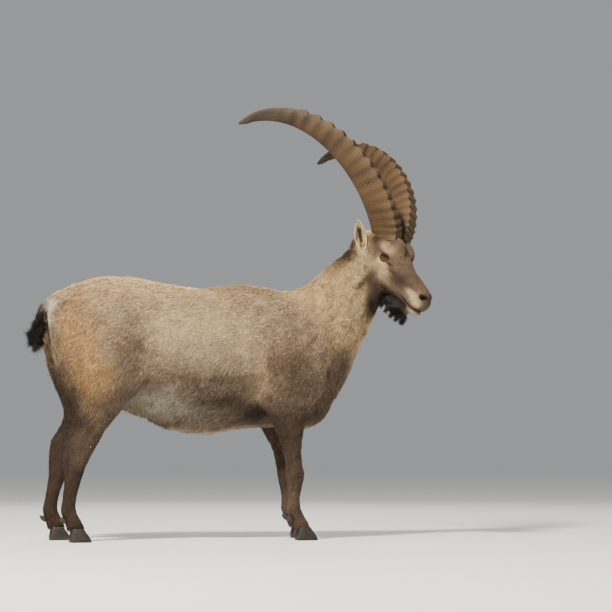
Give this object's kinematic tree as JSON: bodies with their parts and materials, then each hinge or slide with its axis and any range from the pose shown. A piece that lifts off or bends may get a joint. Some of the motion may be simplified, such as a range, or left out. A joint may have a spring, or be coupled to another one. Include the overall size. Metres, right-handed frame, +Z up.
{
  "type": "alpine ibex model",
  "caption": "Life-size still model of a standing male alpine ibex with long ridged horns, its head turned to its right.",
  "frame": {"origin": "centre of the bounding box at the soles' level", "axes": "+X the way the trunk faces, +Y to the animal's left, +Z up"},
  "size_m": [1.352, 0.7242, 1.4938],
  "materials": {
    "coat": "matte",
    "dark_coat": "matte",
    "horn": "satin",
    "hoof": "satin",
    "eye": "gloss"
  },
  "bodies": {
    "root": {"head": "coat", "neck": "coat", "torso": "coat", "tail": "dark_coat", "beard": "dark_coat", "ear_right": "coat", "ear_left": "coat", "eye_right": "eye", "eye_left": "eye", "horn_right": "horn", "horn_left": "horn", "foreleg_upper_right": "coat", "foreleg_lower_right": "coat", "foreleg_upper_left": "coat", "foreleg_lower_left": "coat", "hindleg_upper_right": "coat", "hindleg_lower_right": "coat", "hindleg_upper_left": "coat", "hindleg_lower_left": "coat", "hoof_fore_right_inner": "hoof", "hoof_fore_right_outer": "hoof", "hoof_fore_left_inner": "hoof", "hoof_fore_left_outer": "hoof", "hoof_hind_right_inner": "hoof", "hoof_hind_right_outer": "hoof", "hoof_hind_left_inner": "hoof", "hoof_hind_left_outer": "hoof", "dewclaw_fore_right_inner": "hoof", "dewclaw_fore_right_outer": "hoof", "dewclaw_fore_left_inner": "hoof", "dewclaw_fore_left_outer": "hoof", "dewclaw_hind_right_inner": "hoof", "dewclaw_hind_right_outer": "hoof", "dewclaw_hind_left_inner": "hoof", "dewclaw_hind_left_outer": "hoof"}
  },
  "joints": []
}
